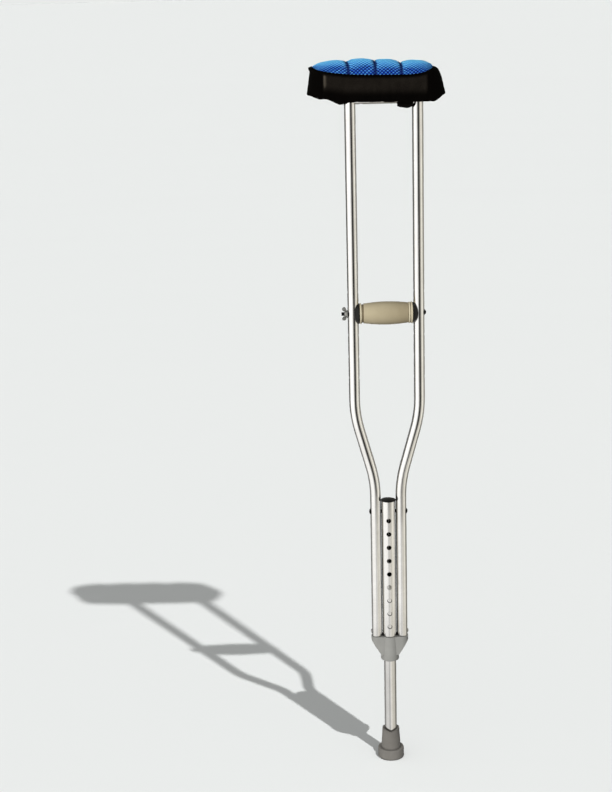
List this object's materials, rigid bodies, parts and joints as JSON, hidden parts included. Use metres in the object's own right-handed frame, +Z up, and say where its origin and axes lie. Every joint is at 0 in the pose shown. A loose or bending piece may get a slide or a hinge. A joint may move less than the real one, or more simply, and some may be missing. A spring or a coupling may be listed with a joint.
{
  "type": "underarm crutch",
  "caption": "Aluminium underarm crutch with a telescopic leg set by a spring button, a bolt-on hand grip and a quilted slip-on underarm cushion.",
  "frame": {"origin": "centre of the rubber tip's sole, on the ground", "axes": "+Z up the crutch, +X across the frame towards the head of the grip bolt, -Y the side the height button faces"},
  "size_m": [0.228, 0.0556, 1.2751],
  "materials": {
    "aluminium_tube": "bright clear-anodised drawn tube",
    "dark_plastic": "moulded black plastic, satin",
    "grey_plastic": "moulded grey nylon, fine satin",
    "steel": "zinc-plated steel",
    "dark_steel": "black-oxide steel",
    "tip_rubber": "moulded grey-brown rubber, matte",
    "grip_rubber": "tan moulded rubber, fine matte grain",
    "pad_rubber": "moulded rubber, matte",
    "cover_fabric": "black stretch-knit laminated on foam, sewn seams",
    "mesh_fabric": "blue spacer mesh, quilted in lobes",
    "foam": "open-cell foam"
  },
  "bodies": {
    "frame": {"left_upright": "aluminium_tube", "right_upright": "aluminium_tube", "top_crossbar": "aluminium_tube", "outer_leg_tube": "aluminium_tube", "outer_tube_cap": "dark_plastic", "collar": "grey_plastic", "clamp_rivet": "dark_steel", "collar_rivets": "steel", "underarm_saddle": "grey_plastic", "saddle_screws": "steel", "underarm_pad": "pad_rubber", "cushion_cover": "cover_fabric", "mesh_panel": "mesh_fabric", "foam_bolster_1": "foam", "foam_bolster_2": "foam", "foam_bolster_3": "foam", "foam_bolster_4": "foam", "strap_left": "cover_fabric", "strap_right": "cover_fabric", "grip_bolt": "dark_steel", "grip_saddle_left": "dark_plastic", "grip_saddle_right": "dark_plastic"},
    "grip": {"grip_core": "dark_plastic", "grip_sleeve": "grip_rubber"},
    "washer": {"plain_washer": "steel"},
    "wing_nut": {"wing_nut": "steel"},
    "leg": {"leg_tube": "aluminium_tube", "rubber_tip": "tip_rubber", "tip_washer": "steel", "button_clip": "steel"},
    "button": {"snap_button": "steel"}
  },
  "joints": [
    {"name": "leg_slide", "type": "slide", "parent": "frame", "child": "leg", "axis": [0, 0, 1], "range_m": [-0.0762, 0.127], "deforming": ["snap_button", "button_clip"]},
    {"name": "button_press", "type": "slide", "parent": "leg", "child": "button", "axis": [0, 1, 0], "range_m": [0, 0.0045], "stiffness_N_per_m": 800, "springref_m": -0.003, "deforming": ["button_clip"]},
    {"name": "grip_turn", "type": "hinge", "parent": "frame", "child": "grip", "pos_m": [0, 0, 0.842], "axis": [1, 0, 0], "continuous": true},
    {"name": "washer_slide", "type": "slide", "parent": "frame", "child": "washer", "axis": [-1, 0, 0], "range_m": [0, 0.00508]},
    {"name": "nut_turn", "type": "hinge", "parent": "washer", "child": "wing_nut", "pos_m": [-0.071, 0, 0.842], "axis": [-1, 0, 0], "range_deg": [0, 1440]}
  ],
  "couplings": [
    {"joint": "washer_slide", "follows": "nut_turn", "m_per_rad": 0.00020213}
  ]
}
